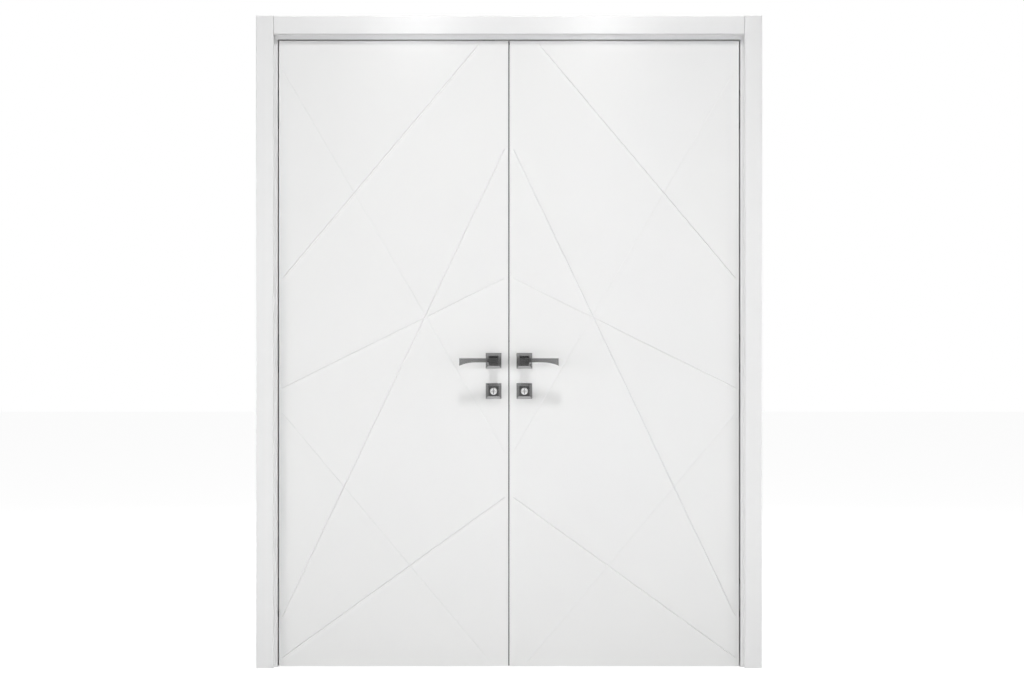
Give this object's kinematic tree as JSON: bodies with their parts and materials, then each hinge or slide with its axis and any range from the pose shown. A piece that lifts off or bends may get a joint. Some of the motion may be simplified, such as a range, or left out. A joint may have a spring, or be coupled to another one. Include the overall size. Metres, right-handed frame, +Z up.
{
  "type": "double interior door with frame",
  "caption": "Pair of flush white door leaves with routed diagonal lines, concealed hinges, lever handles and thumb turns, hung in a jamb frame with stops, seals and casings.",
  "frame": {"origin": "middle of the outline's footprint, at floor level", "axes": "+X to the viewer's right across the doorway, +Y from the front to the back through the wall, +Z up; the leaves open towards -Y"},
  "size_m": [1.64, 0.188, 2.114],
  "materials": {
    "leaf_paint": "white silk paint on fibreboard",
    "frame_paint": "white silk paint on wood",
    "seal_rubber": "matt dark grey",
    "nickel": "dark nickel plate",
    "hinge_zinc": "satin plated die casting",
    "lock_steel": "plain brushed steel"
  },
  "bodies": {
    "frame": {"left_jamb": "frame_paint", "right_jamb": "frame_paint", "head_jamb": "frame_paint", "left_stop": "frame_paint", "right_stop": "frame_paint", "head_stop": "frame_paint", "left_seal": "seal_rubber", "right_seal": "seal_rubber", "head_seal": "seal_rubber", "front_left_casing": "frame_paint", "front_right_casing": "frame_paint", "front_head_casing": "frame_paint", "back_left_casing": "frame_paint", "back_right_casing": "frame_paint", "back_head_casing": "frame_paint", "head_keep": "lock_steel", "left_frame_cups": "hinge_zinc", "right_frame_cups": "hinge_zinc", "left_frame_pins": "lock_steel", "right_frame_pins": "lock_steel"},
    "left_leaf": {"left_leaf": "leaf_paint", "left_leaf_cups": "hinge_zinc", "left_leaf_pins": "lock_steel", "left_lever_roses": "nickel", "left_turn_roses": "nickel", "left_bolt_case": "lock_steel", "left_strike_plate": "lock_steel", "left_rod_guides": "lock_steel", "meeting_seal": "seal_rubber"},
    "right_leaf": {"right_leaf": "leaf_paint", "right_leaf_cups": "hinge_zinc", "right_leaf_pins": "lock_steel", "right_lever_roses": "nickel", "right_turn_roses": "nickel", "right_lock_case": "lock_steel", "right_face_plate": "lock_steel"},
    "left_frame_links": {"left_frame_links": "lock_steel"},
    "right_frame_links": {"right_frame_links": "lock_steel"},
    "left_leaf_links": {"left_leaf_links": "lock_steel"},
    "right_leaf_links": {"right_leaf_links": "lock_steel"},
    "left_lever": {"left_front_lever": "nickel", "left_back_lever": "nickel", "left_lever_spindle": "lock_steel", "left_lever_hub": "lock_steel"},
    "right_lever": {"right_front_lever": "nickel", "right_back_lever": "nickel", "right_lever_spindle": "lock_steel", "right_lever_hub": "lock_steel"},
    "left_turn": {"left_thumb_turn": "nickel", "left_release": "nickel", "left_rod_crank": "lock_steel"},
    "right_turn": {"right_thumb_turn": "nickel", "right_release": "nickel", "right_bolt_crank": "lock_steel"},
    "right_latch": {"right_latch": "lock_steel"},
    "right_dead_bolt": {"right_dead_bolt": "lock_steel"},
    "left_top_rod": {"left_top_rod": "lock_steel"},
    "left_bottom_rod": {"left_bottom_rod": "lock_steel"}
  },
  "joints": [
    {"name": "left_leaf_swing", "type": "hinge", "parent": "frame", "child": "left_leaf", "pos_m": [-0.75, -0.034, 1.02], "axis": [0, 0, -1], "range_deg": [0, 105]},
    {"name": "left_frame_link_turn", "type": "hinge", "parent": "frame", "child": "left_frame_links", "pos_m": [-0.759, -0.012, 1.02], "axis": [0, 0, -1], "range_deg": [0, 52.5]},
    {"name": "left_leaf_link_turn", "type": "hinge", "parent": "left_leaf", "child": "left_leaf_links", "pos_m": [-0.741, -0.012, 1.02], "axis": [0, 0, -1], "range_deg": [-52.5, 0]},
    {"name": "left_lever_press", "type": "hinge", "parent": "left_leaf", "child": "left_lever", "pos_m": [-0.05, -0.014, 0.996], "axis": [0, -1, 0], "range_deg": [0, 40], "stiffness_Nm_per_rad": 1.5, "springref_deg": -40.11},
    {"name": "left_turn_twist", "type": "hinge", "parent": "left_leaf", "child": "left_turn", "pos_m": [-0.05, -0.014, 0.8975], "axis": [0, 1, 0], "range_deg": [0, 90]},
    {"name": "right_leaf_swing", "type": "hinge", "parent": "frame", "child": "right_leaf", "pos_m": [0.75, -0.034, 1.02], "axis": [0, 0, 1], "range_deg": [0, 105]},
    {"name": "right_frame_link_turn", "type": "hinge", "parent": "frame", "child": "right_frame_links", "pos_m": [0.759, -0.012, 1.02], "axis": [0, 0, 1], "range_deg": [0, 52.5]},
    {"name": "right_leaf_link_turn", "type": "hinge", "parent": "right_leaf", "child": "right_leaf_links", "pos_m": [0.741, -0.012, 1.02], "axis": [0, 0, 1], "range_deg": [-52.5, 0]},
    {"name": "right_lever_press", "type": "hinge", "parent": "right_leaf", "child": "right_lever", "pos_m": [0.05, -0.014, 0.996], "axis": [0, 1, 0], "range_deg": [0, 40], "stiffness_Nm_per_rad": 1.5, "springref_deg": -40.11},
    {"name": "right_turn_twist", "type": "hinge", "parent": "right_leaf", "child": "right_turn", "pos_m": [0.05, -0.014, 0.8975], "axis": [0, 1, 0], "range_deg": [0, 90]},
    {"name": "right_latch_slide", "type": "slide", "parent": "right_leaf", "child": "right_latch", "axis": [-1, 0, 0], "range_m": [0, 0.011], "stiffness_N_per_m": 60, "springref_m": -0.005},
    {"name": "right_bolt_slide", "type": "slide", "parent": "right_leaf", "child": "right_dead_bolt", "axis": [-1, 0, 0], "range_m": [0, 0.018]},
    {"name": "left_top_rod_slide", "type": "slide", "parent": "left_leaf", "child": "left_top_rod", "axis": [0, 0, 1], "range_m": [0, 0.0155]},
    {"name": "left_bottom_rod_slide", "type": "slide", "parent": "left_leaf", "child": "left_bottom_rod", "axis": [0, 0, -1], "range_m": [0, 0.0155]}
  ],
  "couplings": [
    {"joint": "left_frame_link_turn", "follows": "left_leaf_swing", "ratio": 0.5},
    {"joint": "left_leaf_link_turn", "follows": "left_leaf_swing", "ratio": -0.5},
    {"joint": "right_frame_link_turn", "follows": "right_leaf_swing", "ratio": 0.5},
    {"joint": "right_leaf_link_turn", "follows": "right_leaf_swing", "ratio": -0.5},
    {"joint": "right_turn_twist", "follows": "right_bolt_slide", "rad_per_m": 87.266},
    {"joint": "left_turn_twist", "follows": "left_top_rod_slide", "rad_per_m": 101.34},
    {"joint": "left_bottom_rod_slide", "follows": "left_top_rod_slide", "ratio": 1}
  ]
}
